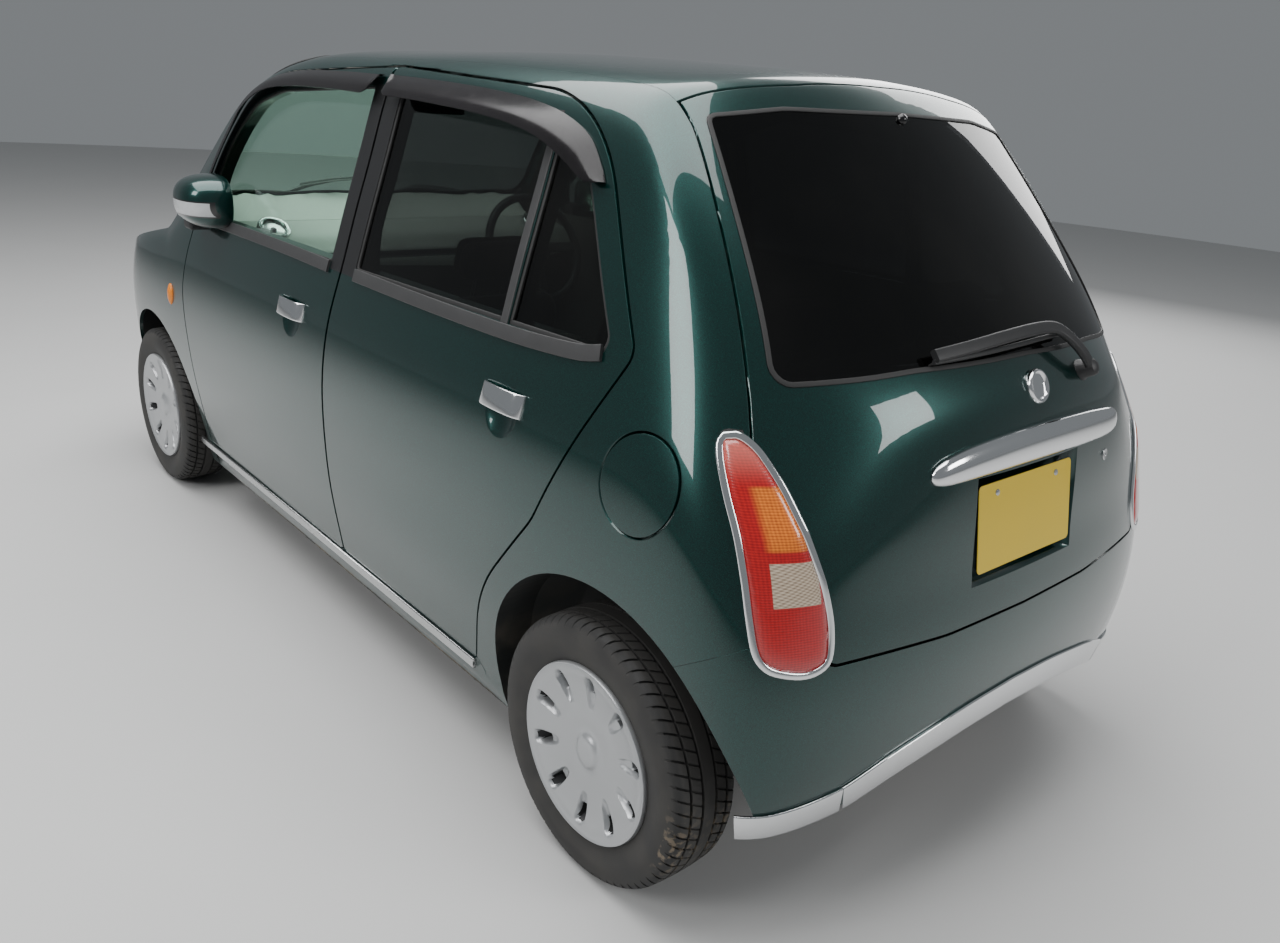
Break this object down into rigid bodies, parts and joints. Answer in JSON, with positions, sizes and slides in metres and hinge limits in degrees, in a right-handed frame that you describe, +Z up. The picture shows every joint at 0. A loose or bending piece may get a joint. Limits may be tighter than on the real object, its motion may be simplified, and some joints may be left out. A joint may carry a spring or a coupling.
{
  "type": "kei car",
  "caption": "Small five-door family hatchback with retro lines: opening doors, bonnet, tailgate and fuel lid, steered front wheels, hollow cabin with seats",
  "frame": {"origin": "on the ground under the middle of the car's bounding box", "axes": "+X towards the front of the car, +Y to the car's left, +Z up"},
  "size_m": [3.397, 1.594, 1.5006],
  "materials": {
    "paint": "metallic gloss",
    "bright": "polished",
    "black": "satin",
    "clear_glass": "clear",
    "dark_glass": "smoked",
    "lamp_red": "lens",
    "lamp_clear": "lens",
    "plate": "blank",
    "rubber": "dusty",
    "silver": "silver",
    "steel": "oxide",
    "pipe": "dull",
    "trim_grey": "grained",
    "cloth": "woven",
    "engine": "cast",
    "underbody": "matt"
  },
  "bodies": {
    "body": {"tail_lamps": "lamp_red", "windscreen": "clear_glass", "roof_panel": "paint", "body_sides": "paint", "fuel_cap": "black", "head_lamps": "lamp_clear", "grille": "bright", "cowl": "black", "front_fenders": "paint", "nose_panel": "paint", "rear_bumper": "paint", "front_bumper": "paint", "sill_strips": "silver", "floor_pan": "underbody", "front_suspension": "steel", "rear_axle": "steel", "engine": "engine", "fuel_tank": "black", "exhaust": "pipe", "dashboard": "trim_grey", "front_seats": "cloth", "rear_seat": "cloth", "front_wipers": "black"},
    "front_left_door_set": {"front_left_door": "paint", "front_left_glass": "clear_glass", "front_left_handle": "bright", "left_mirror": "paint"},
    "front_left_road_wheel": {"front_left_tyre": "rubber", "front_left_wheel": "silver"},
    "front_right_door_set": {"front_right_door": "paint", "front_right_glass": "clear_glass", "front_right_handle": "bright", "right_mirror": "paint"},
    "front_right_road_wheel": {"front_right_tyre": "rubber", "front_right_wheel": "silver"},
    "rear_left_door_set": {"rear_left_door": "paint", "rear_left_glass": "dark_glass", "rear_left_handle": "bright"},
    "rear_left_road_wheel": {"rear_left_tyre": "rubber", "rear_left_wheel": "silver"},
    "rear_right_door_set": {"rear_right_door": "paint", "rear_right_glass": "dark_glass", "rear_right_handle": "bright"},
    "rear_right_road_wheel": {"rear_right_tyre": "rubber", "rear_right_wheel": "silver"},
    "tailgate_set": {"tailgate": "paint", "tailgate_glass": "dark_glass", "garnish": "bright", "number_plate": "plate", "rear_wiper": "black"},
    "bonnet_lid": {"bonnet": "paint"},
    "fuel_flap": {"fuel_lid": "paint"},
    "left_steering_knuckle": {"left_knuckle": "steel"},
    "right_steering_knuckle": {"right_knuckle": "steel"},
    "steering_control": {"steering_wheel": "black"}
  },
  "joints": [
    {"name": "front_left_door_hinge", "type": "hinge", "parent": "body", "child": "front_left_door_set", "pos_m": [0.728, 0.73, 0.6], "axis": [0, 0, -1], "range_deg": [0, 60]},
    {"name": "front_right_door_hinge", "type": "hinge", "parent": "body", "child": "front_right_door_set", "pos_m": [0.728, -0.73, 0.6], "axis": [0, 0, 1], "range_deg": [0, 60]},
    {"name": "rear_left_door_hinge", "type": "hinge", "parent": "body", "child": "rear_left_door_set", "pos_m": [-0.261, 0.73, 0.6], "axis": [0, 0, -1], "range_deg": [0, 60]},
    {"name": "rear_right_door_hinge", "type": "hinge", "parent": "body", "child": "rear_right_door_set", "pos_m": [-0.261, -0.73, 0.6], "axis": [0, 0, 1], "range_deg": [0, 60]},
    {"name": "tailgate_hinge", "type": "hinge", "parent": "body", "child": "tailgate_set", "pos_m": [-1.18, 0, 1.478], "axis": [0, 1, 0], "range_deg": [0, 80]},
    {"name": "bonnet_hinge", "type": "hinge", "parent": "body", "child": "bonnet_lid", "pos_m": [0.955, 0, 0.935], "axis": [0, -1, 0], "range_deg": [0, 50]},
    {"name": "fuel_flap_hinge", "type": "hinge", "parent": "body", "child": "fuel_flap", "pos_m": [-1.236, 0.7146, 0.825], "axis": [0, 0, -1], "range_deg": [0, 80]},
    {"name": "left_steer", "type": "hinge", "parent": "body", "child": "left_steering_knuckle", "pos_m": [1.125, 0.6, 0.196], "axis": [-0.0332, -0.1411, 0.9894], "range_deg": [-34, 34]},
    {"name": "right_steer", "type": "hinge", "parent": "body", "child": "right_steering_knuckle", "pos_m": [1.125, -0.6, 0.196], "axis": [-0.0332, 0.1411, 0.9894], "range_deg": [-34, 34]},
    {"name": "steering_column", "type": "hinge", "parent": "body", "child": "steering_control", "pos_m": [0.435, -0.33, 0.88], "axis": [-0.8988, 0, 0.4384], "range_deg": [-510, 510]},
    {"name": "front_left_wheel_spin", "type": "hinge", "parent": "left_steering_knuckle", "child": "front_left_road_wheel", "pos_m": [1.125, 0.655, 0.266], "axis": [0, 1, 0], "continuous": true},
    {"name": "front_right_wheel_spin", "type": "hinge", "parent": "right_steering_knuckle", "child": "front_right_road_wheel", "pos_m": [1.125, -0.655, 0.266], "axis": [0, 1, 0], "continuous": true},
    {"name": "rear_left_wheel_spin", "type": "hinge", "parent": "body", "child": "rear_left_road_wheel", "pos_m": [-1.265, 0.655, 0.266], "axis": [0, 1, 0], "continuous": true},
    {"name": "rear_right_wheel_spin", "type": "hinge", "parent": "body", "child": "rear_right_road_wheel", "pos_m": [-1.265, -0.655, 0.266], "axis": [0, 1, 0], "continuous": true}
  ],
  "couplings": [
    {"joint": "right_steer", "follows": "left_steer", "ratio": 1},
    {"joint": "steering_column", "follows": "left_steer", "ratio": 15}
  ]
}
